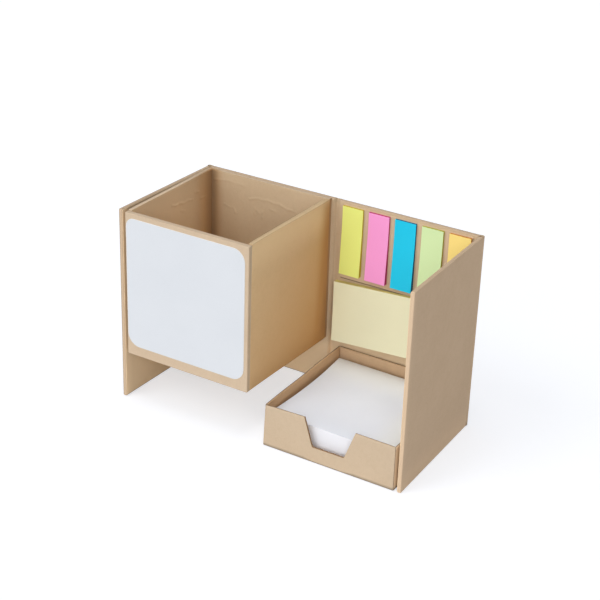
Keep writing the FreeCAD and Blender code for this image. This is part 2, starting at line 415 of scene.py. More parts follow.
def flatPlace(node, other):
    # a flat piece turned in the plane of x and the other axis: its lowest corner, its two directions and sizes
    spots = [v.co for v in frame["nodes"][node].data.vertices]
    middle = sum((Vector(s) for s in spots), Vector()) / len(spots)
    xx = sum((s.x - middle.x) ** 2 for s in spots)
    oo = sum((s[other] - middle[other]) ** 2 for s in spots)
    xo = sum((s.x - middle.x) * (s[other] - middle[other]) for s in spots)
    turn = 0.5 * math.atan2(2 * xo, xx - oo)
    along, across = Vector((math.cos(turn), 0, 0)), Vector()
    along[other] = math.sin(turn)
    if other == 2 and along.x < abs(along.z):
        along = Vector((abs(along.z), 0, -along.x))
    across.x, across[other] = -along[other], along.x
    runs = [[s.dot(way) for s in spots] for way in (along, across)]
    corner = along * min(runs[0]) + across * min(runs[1])
    return corner, along, across, max(runs[0]) - min(runs[0]), max(runs[1]) - min(runs[1])


def wallPlace(node):
    # a flat piece on a wall: its low left corner at the back, its directions, width, height and thickness
    low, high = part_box(node)
    corner, along, up, width, height = flatPlace(node, 2)
    return corner + Vector((0, high.y, 0)), along, up, width, height, high.y - low.y


def boardPlace(node):
    # where an upright board stands: one foot corner, its directions, length, thickness and height
    low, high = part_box(node)
    foot, along, across, length, thick = flatPlace(node, 1)
    return foot + Vector((0, 0, low.z)), along, across, length, thick, high.z - low.z


# the camera and the light

shot = {
    "stand": (0.388496, -0.650359, 0.445534),
    "azimuth": 30.777882, "elevation": 26.229261, "roll": 1.933395,
    "lens": 89.352801, "sensor": 36, "clip": (0.01, 20),
}


def outwards(around, above):
    # direction to a place seen at these angles in degrees, from the front and from the floor
    turn, high = math.radians(around), math.radians(above)
    return Vector((math.sin(turn) * math.cos(high), -math.cos(turn) * math.cos(high), math.sin(high)))


def setCamera():
    camera = newObject("mainCamera", bpy.data.cameras.new("mainCamera"))
    camera.data.lens, camera.data.sensor_width = shot["lens"], shot["sensor"]
    camera.data.clip_start, camera.data.clip_end = shot["clip"]
    turn = outwards(shot["azimuth"], shot["elevation"]).to_track_quat("Z", "Y").to_matrix()
    turn = turn @ Matrix.Rotation(math.radians(shot["roll"]), 3, "Z")
    camera.matrix_world = Matrix.Translation(shot["stand"]) @ turn.to_4x4()
    sceneNow.camera = camera


studio = {
    "skyStrength": 0.294, "softness": 30,
    "suns": [
        # name, height in degrees, direction in degrees from the front, strength
        ("rightSoftbox", 28, 35, 0.241), ("leftSoftbox", 48, -35, 0.218), ("topSoftbox", 86, 0, 0.248),
        ("lowLeftFill", 8, -35, 0.147), ("lowFrontFill", 8, 0, 0.168),
    ],
    "floorSize": 30, "floorDrop": 0.2 * mm,
    "floorTone": (0.86, 0.86, 0.86, 1), "floorSeenTone": (0.535, 0.55, 0.58, 1),
    "floorGlow": 0.565, "glowColour": (0.985, 1, 1.035, 1),
}


def addSun(name, height, around, strength):
    lamp = bpy.data.lights.new(name, "SUN")
    lamp.energy, lamp.angle = strength * math.pi, math.radians(studio["softness"])
    holder = newObject(name, lamp)
    holder.location = outwards(around, height)
    holder.rotation_euler = holder.location.to_track_quat("Z", "Y").to_euler()


def straightRays(tree):
    # 1 for what the camera sees directly, in a mirror or through glass
    path = addNode(tree, "LightPath")
    first = addNode(tree, "Math", {"operation": "MAXIMUM"})
    both = addNode(tree, "Math", {"operation": "MAXIMUM"})
    join(path, "Is Camera Ray", first, 0)
    join(path, "Is Glossy Ray", first, 1)
    join(first, 0, both, 0)
    join(path, "Is Transmission Ray", both, 1)
    return both


def setSky():
    world = bpy.data.worlds.new("studioSky")
    sceneNow.world = world
    world.use_nodes = True
    tree = world.node_tree
    sky = tree.nodes["Background"]
    sky.inputs["Color"].default_value = (1, 1, 1, 1)
    strength = addNode(tree, "MapRange", **{"To Min": studio["skyStrength"], "To Max": 1})
    join(straightRays(tree), 0, strength, "Value")
    join(strength, 0, sky, "Strength")


def setFloor():
    half, drop = studio["floorSize"] / 2, studio["floorDrop"]
    mesh = bpy.data.meshes.new("studioFloor")
    corners = [(half * x, half * y, -drop) for x, y in ((-1, -1), (1, -1), (1, 1), (-1, 1))]
    mesh.from_pydata(corners, [], [(0, 1, 2, 3)])
    floor = newObject("studioFloor", mesh)
    finish = bpy.data.materials.new("floorWhite")
    finish.use_nodes = True
    tree = finish.node_tree
    tree.nodes.remove(tree.nodes["Principled BSDF"])
    seen = straightRays(tree)
    tone = mixColour(tree, studio["floorTone"], studio["floorSeenTone"], seen.outputs[0])
    plain = addNode(tree, "BsdfDiffuse")
    join(tone, 2, plain, "Color")
    glow = addNode(tree, "Emission", Color=studio["glowColour"])
    join(mathNode(tree, "MULTIPLY", seen, studio["floorGlow"]), 0, glow, "Strength")
    both = addNode(tree, "AddShader")
    join(plain, 0, both, 0)
    join(glow, 0, both, 1)
    join(both, 0, tree.nodes["Material Output"], "Surface")
    mesh.materials.append(finish)


setCamera()
sceneNow.view_settings.view_transform = "Standard"
setSky()
for sun in studio["suns"]:
    addSun(*sun)
setFloor()
print("camera and studio set")

# cover boards

coverBoards = {
    **lengths(radius=0.40, pitch=5, sag=0.05, lineWidth=0.75, rubbedReach=(1.0, 0.5), footReach=(18, 0)),
    "squeeze": 0.03,
    "pieces": [
        # name, node, body, tones of the turned edges, their painted shade line on the outer side, paler front
        # edge and painted light on the foot, seed
        ("leftBackBoard", "back_board_left", "pen_half", 0.10, 0.72, 0.0, 0.0, 1),
        ("rightBackBoard", "back_board_right", "memo_half", 0.10, 0.72, 0.0, 0.0, 2),
        ("leftSidePanel", "side_board_left", "left_panel", 0.12, 0.66, 0.25, 0.0, 3),
        ("rightSidePanel", "side_board_right", "right_panel", 0.0, 0.0, 0.35, 0.35, 4),
    ],
}

unevenBoard = {"waveScale": 28, "edgeScale": 60, "edgeDepth": 2 * mm, "seedStep": (7.3, 3.1, 5.7)}


def settled(points, seed, size, squeeze, sag):
    # board faces and upper edges are never quite flat; everything moves inwards only
    look = unevenBoard
    shift = Vector(look["seedStep"]) * seed
    half = size[1] / 2
    for p in points:
        wave = 0.5 + 0.5 * noise.noise(p * look["waveScale"] + shift)
        p.y = half + (p.y - half) * (1 - squeeze * wave)
        edge = 0.5 + 0.5 * noise.noise(Vector((p.x * look["edgeScale"], 0, 0)) + shift)
        if p.z > size[2] - look["edgeDepth"]:
            p.z -= sag * edge


rimLook = {"radiusShare": 1.05, "lineReach": (1.15, 0.15)}     # shares of the rounding and of the line's width


def rimMarks(points, size, group, outerHigh):
    # painted shade line along the outer side and slightly darker paper on the turned edges
    near = group["radius"] * rimLook["radiusShare"]
    marks = []
    for p in points:
        rim = p.z > size[2] - near - group["sag"] or p.x < near or p.x > size[0] - near
        fromOuter = size[1] - p.y if outerHigh else p.y
        line = fade(fromOuter / group["lineWidth"], *rimLook["lineReach"])
        marks.append(group["rimTone"] + (group["lineTone"] - group["rimTone"]) * line if rim else 0.0)
    return marks


def boardGrid(group, node, seed):
    # local points of a board, its faces, how to place them and which side faces outwards
    foot, along, across, length, thick, tall = boardPlace(node)
    size = (length, thick, tall)
    points, faces, sides = roundedSlab(size, group["radius"], group["pitch"], group.get("fine"))
    settled(points, seed, size, group["squeeze"], group["sag"])
    middle = foot + along * length / 2 + across * thick / 2
    centre = group.get("centre", (cadLow + cadHigh) / 2)
    outerHigh = across.dot(middle - centre) > 0

    def put(p):
        return foot + along * p.x + across * p.y + Vector((0, 0, p.z))

    return points, faces, sides, size, put, outerHigh


def makeCoverBoards():
    for name, node, body, rimTone, lineTone, rubbed, paintedFootLight, seed in coverBoards["pieces"]:
        group = dict(coverBoards, rimTone=rimTone, lineTone=lineTone)
        points, faces, sides, size, put, outerHigh = boardGrid(group, node, seed)
        placed = [put(p) for p in points]
        front = min(p.y for p in placed)
        pale = [max(rubbed * fade(p.y - front, *coverBoards["rubbedReach"]),
                    paintedFootLight * fade(p.z, *coverBoards["footReach"])) for p in placed]
        marks = {"edge": rimMarks(points, size, group, outerHigh), "pale": pale}
        makePiece(name, (placed, faces, None), ["coverKraft"], node, body, marks)


makeCoverBoards()
print("cover boards made")

# paper folds between the boards

foldPaper = {
    # the pressed lining comes down from the board's face over the slope, a corner's middle may stand proud
    **lengths(thick=0.5, lap=0.42, sink=0.02, crease=0.08, creaseWidth=0.25, board=2.2, slope=0.9, proud=0.1,
              endRow=0.15, endInset=0.12, ripple=0.02, topReach=(0.5, 0.2), footReach=(0.56, 0.16)),
    "rows": 30, "columns": 20, "rippleScale": (300, 45), "topShade": 0.25, "footShade": 0.5,
    "footLight": [(0, 0.95), (24 * mm, 0.85), (34 * mm, 0.0)],
    "pieces": [
        # name, node, bodies, bow of the middle in millimetres, whether the lining is pressed into it, joint,
        # turn of the far side at rest
        ("centreFold", "centre_fold_strip", ("memo_half", "pen_half"), 0.30, True, "pen_half_fold", 0),
        ("rightFold", "right_fold_strip", ("memo_half", "right_panel"), -0.12, False, "right_panel_fold", 88.75),
        ("leftFold", "left_fold_strip", ("pen_half", "left_panel"), -0.12, False, "left_panel_fold", 88.6),
    ],
}


def foldPlaces():
    # near crease and the direction in which the flat strip would run on, and the width of the strips
    rightStart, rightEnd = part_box("back_board_right")
    leftEnd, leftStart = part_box("back_board_left")
    places = {
        "centreFold": (Vector((rightStart.x, rightStart.y + foldPaper["board"], 0)), -1),
        "rightFold": (Vector((rightEnd.x, rightEnd.y, 0)), 1),
        "leftFold": (Vector((leftEnd.x, leftStart.y, 0)), -1),
    }
    return places, rightStart.x - leftStart.x


def foldSection(width, bow, pressed):
    # (place along the strip, depth) of its outer side, then of its inner side on the way back
    look = foldPaper
    thick, lap, sink, board = look["thick"], look["lap"], look["sink"], look["board"]
    count, crease = look["columns"], look["creaseWidth"]
    outer, inner = [], []
    for i in range(count + 1):
        s = -lap + (width + 2 * lap) * i / count
        hump = math.sin(math.pi * min(1, max(0, s / width))) ** (2 if pressed else 1)
        dip = look["crease"] * (bell(s, crease) + bell(s - width, crease))
        outer.append((s, max(sink + dip + bow * hump, sink if pressed else -look["proud"])))
    for s, depth in reversed(outer):
        fromCrease = min(s, width - s)
        if not pressed:
            inner.append((s, depth + thick))
        elif fromCrease <= 0:
            inner.append((s, board - sink))
        else:
            down = fade(fromCrease, 0, look["slope"])
            inner.append((s, board * (1 - down) + (depth + thick) * down))
    return outer, inner


def foldMarks(name, points, inner):
    # painted light inside the middle fold's foot, painted shade at the tops and feet of all folds
    look = foldPaper
    lit = name == "centreFold"
    pale = [between(p.z, look["footLight"]) if lit and inside else 0.0 for p, inside in zip(points, inner)]
    edge = [look["topShade"] * fade(cadHigh.z - p.z, *look["topReach"])
            + look["footShade"] * fade(p.z, *look["footReach"]) for p in points]
    return {"pale": pale, "edge": edge}


def makeFold(name, node, bodies, bow, pressed, jointName, restTurn):
    look = foldPaper
    places, width = foldPlaces()
    near, way = places[name]
    pivot = Vector(next(j["pos_m"] for j in frame["joints"] if j["name"] == jointName))
    pivot.z = 0
    outer, inner = foldSection(width, bow * mm, pressed)
    half, ring = len(outer), len(outer) + len(inner)
    tall, rows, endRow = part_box("back_board_left")[1].z, look["rows"], look["endRow"]
    heights = [0, endRow] + [tall * (i + 1) / (rows + 1) for i in range(rows)] + [tall - endRow, tall]
    runScale, riseScale = look["rippleScale"]

    def place(s, depth, z):
        spin = Matrix.Rotation(-way * math.radians(restTurn) * smoothStep(s / width), 3, "Z")
        spot = spin @ (near + Vector((way * s, -depth, 0)) - pivot) + pivot
        return Vector((spot.x, spot.y, z))

    points = []
    for z in heights:
        inset = look["endInset"] if z in (0, tall) else 0
        for s, depth in outer:
            uneven = noise.noise(Vector((s * runScale, 0, z * riseScale))) if 0 < s < width else 0
            points.append(place(s, depth + inset + look["ripple"] * uneven, z))
        points += [place(s, depth - inset, z) for s, depth in inner]
    faces, kinds = tubeFaces(len(heights), ring, lambda r, c: int(c >= half))
    marks = foldMarks(name, points, [index % ring >= half for index in range(len(points))])
    finishes = ["coverKraft", "liningKraft"]
    piece = makePiece(name, (points, faces, kinds), finishes, node, marks=marks)
    place(width, 0, 0)
    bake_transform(piece)
    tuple(near)


for fold in foldPaper["pieces"]:
    makeFold(*fold)
print("folds made")

# linings on the inner faces of the boards

linings = {
    **lengths(margin=0.35, bevel=0.1, corner=0.6, pitch=6, sink=0.05, wave=0.05, trayGap=1, frontLight=(3, 1.5),
              footReach=(1.05, 0.35)),
    "waveScale": 25, "footLine": 0.8,
    # where light from the table and the tray makes the paper pale
    "footLight": [(0, 1.0), (24 * mm, 0.9), (34 * mm, 0.0)],
    "trayLight": [(0, 1.0), (31 * mm, 1.0), (37 * mm, 0.0)],
    "pieces": [
        # name, node, board, body, how pale: the foot, the strip above the tray, the front end, then the seed
        ("leftBackLining", "lining_back_left", "back_board_left", "pen_half", 1.0, 0.0, 0.0, 21),
        ("rightBackLining", "lining_back_right", "back_board_right", "memo_half", 0.9, 0.45, 0.0, 22),
        ("leftSideLining", "lining_side_left", "side_board_left", "left_panel", 0.5, 0.0, 0.8, 23),
        ("rightSideLining", "lining_side_right", "side_board_right", "right_panel", 0.0, 0.0, 0.8, 24),
    ],
}


def makeLining(name, node, board, body, paintedFootLight, paleStrip, paleFront, seed):
    look = linings
    foot, along, across, length, thick, tall = boardPlace(board)
    margin, bevel, scale = look["margin"], look["bevel"], look["waveScale"]
    skin = boardPlace(node)[4]
    inwards = across if across.dot((cadLow + cadHigh) / 2 - foot) > 0 else -across
    start = foot + (across * thick if inwards == across else Vector())
    depths, trims = (-look["sink"], skin - bevel, skin), (0, 0, bevel)

    def where(x, z, level, inner):
        wave = look["wave"] * noise.noise(Vector((x * scale, z * scale, seed))) if level == 2 and inner else 0
        return start + along * (x + margin) + inwards * (depths[level] - abs(wave)) + Vector((0, 0, z + margin))

    points, faces, kinds = sheetMesh(length - 2 * margin, tall - 2 * margin, look, trims, where)
    tray, gap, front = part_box("memo_tray")[0].x, look["trayGap"], min(p.y for p in points)
    pale = [max(paintedFootLight * between(p.z, look["footLight"]) * fade(p.x, tray + gap, tray - gap),
                paleStrip * between(p.z, look["trayLight"]),
                paleFront * fade(p.y - front, *look["frontLight"])) for p in points]
    # painted shade line along the foot
    edge = [look["footLine"] * fade(p.z, *look["footReach"]) for p in points]
    marks = {"pale": pale, "edge": edge}
    makePiece(name, (points, faces, kinds), ["liningKraft"], node, body, marks)


for lining in linings["pieces"]:
    makeLining(*lining)
print("linings made")

# pen cup

penCup = {
    # joint: of the wrap, on the front wall's right end; frontDrop: that wall's upper edge stands low
    **lengths(radius=0.32, sag=0.15, lineWidth=0.6, joint=1.6, jointWidth=0.35, frontDrop=0.7, backEnd=0.4,
              endSkin=0.02, jointLine=0.1, jointBand=(0.2, 1.1), footLine=0.3, rimZone=1.0, innerRim=(0.45, 0.33),
              bubble=0.14, bubbleInset=(0.5, 1.0)),
    "span": (84, 30, 120),     # depth, foot and top of the cup in millimetres
    "squeeze": 0.02, "bubbleScale": 55, "dropReach": (112, 120),
    # footShade, innerRimTone: painted shade lines at the foot and on the front wall's inner rim; jointTone: the
    # wrap's dark joint; backEndWarmth: painted shade line at the back wall's right end
    "footShade": 0.5, "jointTone": 0.3, "innerRimTone": 0.45, "backEndWarmth": 0.9,
    "spread": [(30, 1.9), (118, 1.6)], "spreadReach": (0.95, 0.99),     # the right wall stands out at the back
    # tones: how much, where along the wall they begin and where they are full, in millimetres
    "innerTones": {
        "cupLeft": {"warm": (0.85, 58, 82), "pale": (0.55, 70, 42), "dust": (0.42, 72, 82)},
        "cupBack": {"warm": (0.78, 12, 3), "dust": (0.42, 8, 3)},
    },
    "sideWarmth": {"back": 0.40, "foot": 0.40, "both": 0.32, "top": 0.6, "topReach": (0, 0.3),
                   "edge": 0.6, "edgeReach": (0.80, 1.0), "edgeRise": (-0.02, 0.06)},
    "sideLight": {"tone": 0.45, "rise": (96, 116), "front": (-14, 16), "back": (80, 70)},
    "pieces": [
        # name, node, grid pitch, finer grid at the top (height, pitch), tones of rim and its painted outer shade
        # line, seed
        ("cupFront", "cup_front_wall", 1.6 * mm, None, 0.0, 0.0, 11),
        ("cupBack", "cup_back_wall", 3 * mm, (30 * mm, 0.65 * mm), 0.10, 0.10, 12),
        ("cupLeft", "cup_left_wall", 3 * mm, (30 * mm, 0.65 * mm), 0.12, 0.45, 13),
        ("cupRight", "cup_right_wall", 2.0 * mm, None, 0.32, 0.24, 14),
    ],
    "finishes": {"cupRight": ("cupSideKraft", "cupInsideKraft"), "cupBack": ("cupKraft", "cupBackKraft")},
    # raised wrinkles of the inner paper: places along the wall and up from the table, width, height
    "wrinkles": {
        "cupBack": [
            ([(29.5, 106.6), (32.5, 107.7), (35.4, 108.4), (39, 108.2), (42.5, 109.0), (46, 108.0), (50, 108.5),
              (54, 107.2), (56, 106.3), (59, 106.6), (62, 105.8), (67, 104.4)], 0.42, 0.34),
            ([(33.3, 101.6), (32.7, 99.4), (33.4, 97.2)], 0.42, 0.46),
            ([(38.9, 101.0), (38.1, 98.6), (38.8, 96.5)], 0.42, 0.46),
            ([(35.0, 101.0), (36.9, 98.8)], 0.42, 0.34), ([(18.0, 98.4), (19.5, 95.6)], 0.45, 0.40),
            ([(11.5, 99.5), (15.5, 98.2)], 0.5, 0.34), ([(4, 113.5), (14, 115.0), (26, 114.2)], 0.7, 0.20),
            ([(24.5, 104.5), (26.2, 102.2), (25.6, 100.6)], 0.42, 0.36),
            ([(44, 103.8), (47.5, 102.9)], 0.45, 0.30),
        ],
        "cupLeft": [
            ([(41, 109.8), (45, 108.4), (48, 108.9), (53, 107.2), (57, 107.8), (62, 106.4)], 0.42, 0.36),
            ([(70, 104.7), (76, 104.2)], 0.5, 0.30), ([(22, 101.5), (27, 102.9), (31, 103.0)], 0.5, 0.30),
            ([(50, 103.5), (53.5, 102.0)], 0.42, 0.30), ([(64, 110.5), (68, 109.6)], 0.42, 0.28),
        ],
        "cupFront": [([(12.4, 120.4), (12.6, 117)], 1.5, 0.4), ([(20.7, 120.4), (20.9, 117)], 1.5, 0.4)],
    },
    "wrinkleShare": 1.2, "wrinkleScale": 0.55, "wrinkleEven": 0.62, "wrinkleSeed": 4.2,
}


def wrinkle(name, run, rise):
    # height of the wrinkles at a place on the inner paper
    scale, even = penCup["wrinkleScale"], penCup["wrinkleEven"]
    uneven = even + even * noise.noise(Vector((run * scale, rise * scale, penCup["wrinkleSeed"])))
    lift = 0
    for line, width, height in penCup["wrinkles"].get(name, []):
        distances = []
        for (x0, z0), (x1, z1) in zip(line, line[1:]):
            dx, dz = x1 - x0, z1 - z0
            t = min(1, max(0, ((run - x0) * dx + (rise - z0) * dz) / (dx * dx + dz * dz)))
            distances.append(math.hypot(run - x0 - dx * t, rise - z0 - dz * t))
        lift += penCup["wrinkleShare"] * height * bell(min(distances), width) * uneven
    return lift * mm


def innerTone(kind, name, run):
    # painted warm shade, painted light and painted shade on the inner paper towards a corner of the cup
    amount, start, full = penCup["innerTones"].get(name, {}).get(kind, (0.0, 0, 1))
    return amount * fade(run, start, full)


def sideTones(run, rise):
    # painted warm shade on the right wall's outer face towards its back and foot, and painted light near its top
    share, light, (deep, foot, tall) = penCup["sideWarmth"], penCup["sideLight"], penCup["span"]
    back, low, top = run / deep, 1 - (rise - foot) / (tall - foot), share["top"]
    warm = share["back"] * back * (top + (1 - top) * fade(low, *share["topReach"])) + share["foot"] * low
    warm += share["both"] * back * low
    warm += share["edge"] * fade(back, *share["edgeReach"]) * fade(low, *share["edgeRise"])
    pale = light["tone"] * fade(rise, *light["rise"]) * fade(run, *light["front"]) * fade(run, *light["back"])
    return min(1, max(0, warm)), pale


def cupEdge(name, p, size, run, inner, onJoint, rim):
    # painted shade lines at the foot and the front wall's inner rim, the wrap's dark joint, painted shade in the
    # corners; rim is the tone so far
    high, deep = penCup["innerRim"]
    if p.z < penCup["footLine"]:
        return penCup["footShade"]
    if name != "cupFront":
        return innerTone("dust", name, run) * inner if p.z < size[2] - penCup["rimZone"] else rim
    if inner and p.z > size[2] - high and min(p.y, size[1] - p.y) < deep:
        return penCup["innerRimTone"]
    return penCup["jointTone"] if onJoint else 0.0


def makeCupWall(name, node, pitch, fine, rimTone, lineTone, seed):
    look = penCup
    corner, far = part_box("cup_front_wall")[0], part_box("cup_back_wall")[1]
    group = dict(look, pitch=pitch, fine=fine, rimTone=rimTone, lineTone=lineTone, centre=(corner + far) / 2)
    points, faces, sides, size, put, outerHigh = boardGrid(group, node, seed)
    edge = rimMarks(points, size, group, outerHigh)
    along = 0 if name in ("cupFront", "cupBack") else 1
    warm, pale, placed = [], [], []
    (top, end), (nearest, farthest) = look["bubbleInset"], look["jointBand"]
    for index, p in enumerate(points):
        run, rise = (put(p)[along] - corner[along]) / mm, put(p).z / mm
        inner = p.y < size[1] / 2 if outerHigh else p.y > size[1] / 2
        flat = p.z < size[2] - top and end < p.x < size[0] - end
        offJoint = p.y - look["joint"]
        rightEnd = name == "cupFront" and p.x > size[0] - look["endSkin"]
        if rightEnd and nearest < abs(offJoint) < farthest:
            p.y = look["joint"] + math.copysign(look["jointWidth"], offJoint)
        if inner:
            wave = noise.noise(put(p) * look["bubbleScale"] + Vector((seed, 0, 0)))
            lift = wrinkle(name, run, rise) + (look["bubble"] * wave if flat else 0)
            p.y += -lift if outerHigh else lift
        spot = put(p)
        onJoint = rightEnd and abs(offJoint) < look["jointLine"]
        edge[index] = cupEdge(name, p, size, run, inner, onJoint, edge[index])
        if name == "cupFront":
            spot.z -= look["frontDrop"] * fade(rise, *look["dropReach"])
        across = (spot.x - corner.x) / (far.x - corner.x)
        bend = fade(across, *look["spreadReach"]) * fade((spot.y - corner.y) / mm, 0, look["span"][0])
        spot.x += between(rise, look["spread"]) * mm * bend
        placed.append(spot)
        if name == "cupRight" and not inner:
            tones = sideTones(run, rise)
        # painted shade line on the back wall's right end
        elif name == "cupBack" and p.x > size[0] - look["backEnd"]:
            tones = look["backEndWarmth"], 0.0
        else:
            tones = innerTone("warm", name, run) * inner, innerTone("pale", name, run) * inner
        warm.append(tones[0])
        pale.append(tones[1])
    inside = [int(axis == 1 and high != outerHigh) for axis, high in sides]
    finishes = look["finishes"].get(name, ("cupKraft", "cupInsideKraft"))
    marks = {"edge": edge, "warm": warm, "pale": pale}
    makePiece(name, (placed, faces, inside), finishes, node, "pen_half", marks)


cupFloor = {**lengths(radius=0.3, pitch=4, uneven=0.2, dustWidth=1.2), "scale": 60, "dust": 0.5}


def makeCupFloor():
    look = cupFloor
    low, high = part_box("cup_floor")
    size = high - low
    points, faces, sides = roundedSlab(size, look["radius"], look["pitch"])
    for p in points:
        if p.z > size.z / 2:
            p.z -= look["uneven"] * (0.5 + 0.5 * noise.noise(p * look["scale"]))
    # painted shade where the floor meets the walls
    edge = [look["dust"] * fade(min(p.x, p.y, size.x - p.x, size.y - p.y), look["dustWidth"], 0)
            for p in points]
    shape = [low + p for p in points], faces, None
    makePiece("cupFloor", shape, ["cupInsideKraft"], "cup_floor", "pen_half", {"edge": edge})


for wall in penCup["pieces"]:
    makeCupWall(*wall)
makeCupFloor()
print("pen cup made")

# label on the cup

frontLabel = {
    **lengths(corners=(7.8, 7.8, 5.4, 7.8), bevel=0.12, pitch=5, wave=0.03, drop=1.5, widen=0.5, sink=0.05,
              backTrim=0.15, backDepth=0.02),
    "waveScale": 18, "seed": 3.7,
}


def makeLabel():
    look = frontLabel
    corner, along, up, width, height, thick = wallPlace("cup_front_label")
    corner, width = corner - along * look["widen"], width + look["widen"]
    bevel, scale = look["bevel"], look["waveScale"]
    depths, trims = (-look["sink"], look["backDepth"], thick - bevel, thick), (look["backTrim"], 0, 0, bevel)

    def where(x, z, level, inner):
        wave = abs(noise.noise(Vector((x * scale, z * scale, look["seed"])))) if level == 3 and inner else 0
        return corner + along * x + up * z + Vector((0, look["wave"] * wave - depths[level], 0))

    shape = sheetMesh(width, height - look["drop"], look, trims, where)
    makePiece("frontLabel", shape, ["labelPaper", "labelEdge"], "cup_front_label", "pen_half")


makeLabel()
print("label made")

# memo tray: four folded walls round a floor, open corners, finger notch in the front

memoTray = {
    # within cornerReach of an end the inner face is cut back for the next wall
    **lengths(wall=1.2, floor=0.6, floorPitch=6, floorRadius=0.12, rim=0.5, cutRim=0.06, foot=0.5, lowRow=0.3,
              slit=0.05, cornerReach=1.8, pitch=2.2, endLength=3, notchFloor=9.5, notchTop=16.1,
              notchBottom=(10.6, 9.7), notchCorner=0.605, notchShift=0.8, rightReach=(10, 2),
              footReach=(0.84, 0.24), cutMargin=0.02, floorLap=0.1, warmInset=0.7,
              notchStart=(0.35, 0.01, -0.01), notchPast=1.2, notchLast=2.4, notchClear=(0.8, 0.5)),
    # the rounding at a wall's foot, as shares of its size, and the angles of the rolled rim
    "footTurn": ((0.35, 0.0), (0.08, 0.22), (0.0, 0.7)), "rimAngles": (30, 60, 90),
    "corners": lengths(frontLeft=0.7, frontRight=0.25, backLeft=0.6, backRight=0.4),
    "tall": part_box("memo_tray")[1].z, "rows": 16, "notchSteps": 20,
    "endColumns": (0.30, 0.45, 0.62, 0.85, 1.2, 1.8, 3.0),     # columns near each end of a wall, in millimetres
    # how far the left wall's upper edge leans in, by distance from the front
    "lean": [(0, 1.0), (27, 0.8), (40, 0.75), (58, 0.1), (84, 0.1)],
    # upper edge of the front wall, by distance from the left end
    "frontRise": [(0, -1.1), (5, -0.7), (27, -0.1), (60, 0.35), (84, 0.2)],
    "farLine": 0.8, "footLine": 0.8,      # painted shade line on the far side of each folded edge and along the foot
    "lineReach": (0.15, 0.5), "outerShare": 0.4, "rimShare": 1.02, "flare": 0.3,
    "leanPower": 1.3, "leanReach": (16, 2), "cornerSag": (0.25, 9, 4), "leftWarmth": 0.3, "rightLight": 0.9,
}


def isCut(height):
    return height < memoTray["tall"] - memoTray["cutMargin"]


def notchHeight(run, length):
    # height of the front wall: full, then down the notch's sloping sides and rounded lower corners
    look = memoTray
    tall, floor, blend = look["tall"], look["notchFloor"], look["notchCorner"]
    off = run - length / 2 - look["notchShift"]
    top, bottom = look["notchTop"], look["notchBottom"][int(off > 0)]
    off = abs(off)
    if off >= top:
        return tall
    slope = (tall - floor) / (top - bottom)
    height = floor + max(0, (off - bottom) * slope)
    if abs(off - bottom) < blend:
        height = max(height, floor + slope * (off - bottom + blend) ** 2 / (4 * blend))
    return min(tall, height)


def wallColumns(length, notch):
    look = memoTray
    ends = [p * mm for p in look["endColumns"]]
    flat = length - 2 * look["endLength"]
    count = round(flat / look["pitch"])
    middle = [look["endLength"] + flat * i / count for i in range(1, count)]
    runs = ends + middle + [length - p for p in reversed(ends)]
    if notch:
        # close columns at the notch's upper corners and down its sides
        centre, steps = length / 2 + look["notchShift"], look["notchSteps"]
        top, bottom = look["notchTop"], min(look["notchBottom"])
        below, above = look["notchClear"]
        fine = [top + step for step in look["notchStart"]]
        fine += [top - (top - bottom + look["notchPast"]) * i / steps for i in range(1, steps + 1)]
        fine.append(bottom - look["notchLast"])
        runs = [r for r in runs if not fine[-1] - below < abs(r - centre) < fine[0] + above]
        runs += [centre - f for f in fine] + [centre + f for f in fine]
        runs.sort()
    return runs


def wallSection(thick, tall, rim):
    # (depth, height) round a wall: up its outer face, over the rolled edge and down its inner face
    foot, rows = memoTray["foot"], memoTray["rows"]
    section = [(foot * d, foot * z) for d, z in memoTray["footTurn"]]
    low = section[-1][1]
    section += [(0.0, low + (tall - rim - low) * i / rows) for i in range(1, rows + 1)]
    for a in [math.radians(angle) for angle in memoTray["rimAngles"]]:
        section.append((rim * (1 - math.cos(a)), tall - rim + rim * math.sin(a)))
    far = [(thick - d, z) for d, z in reversed(section[3:])]
    return section + far + [(thick, memoTray["lowRow"]), (thick, 0.0)]


def trayWall(start, way, inward, length, cornerStart, cornerEnd, farOuter, notch=False):
    # one wall as a closed shell: rings of points round its section, one ring for each column
    look = memoTray
    wall, slit, rows, full = look["wall"], look["slit"], look["rows"], look["tall"]
    runs = wallColumns(length, notch)
    heights = [notchHeight(run, length) if notch else full for run in runs]
    points, edge = [], []

    def rounding(run, radius):
        return radius - math.sqrt(max(0, radius ** 2 - (radius - run) ** 2)) if run < radius else 0

    for run, tall in zip(runs, heights):
        cut = notch and isCut(tall)
        rim = look["cutRim"] if cut else look["rim"]
        fromEnd = min(run, length - run)
        outer = start + way * min(max(run, slit), length - slit)
        outer += inward * (rounding(run, cornerStart) + rounding(length - run, cornerEnd))
        innerRun = run
        if fromEnd < look["cornerReach"]:
            push = wall + slit + look["flare"] * fromEnd
            innerRun = push if run < length / 2 else length - push
        cross = start + way * innerRun + inward * wall - outer
        thick = cross.length
        cross.normalize()
        loop = wallSection(thick, tall, rim)
        for depth, z in loop:
            points.append(outer + cross * depth + Vector((0, 0, z)))
            share = depth / thick
            onTop = tall - z < rim * look["rimShare"] and not cut
            line = look["farLine"] * fade(1 - share if farOuter else share, *look["lineReach"]) if onTop else 0.0
            footLine = look["footLine"] * fade(z, *look["footReach"]) if share < look["outerShare"] else 0.0
            edge.append(max(line, footLine))
    ring = len(loop)
    rolled, innerFace = range(2 + rows, ring - rows - 4), ring - rows - 6

    def kindOf(column, r):
        deep = notch and isCut(min(heights[column], heights[column + 1]))
        return 2 if deep and r in rolled else int(r >= innerFace)

    faces, kinds = tubeFaces(len(runs), ring, kindOf)
    return points, faces, kinds, edge


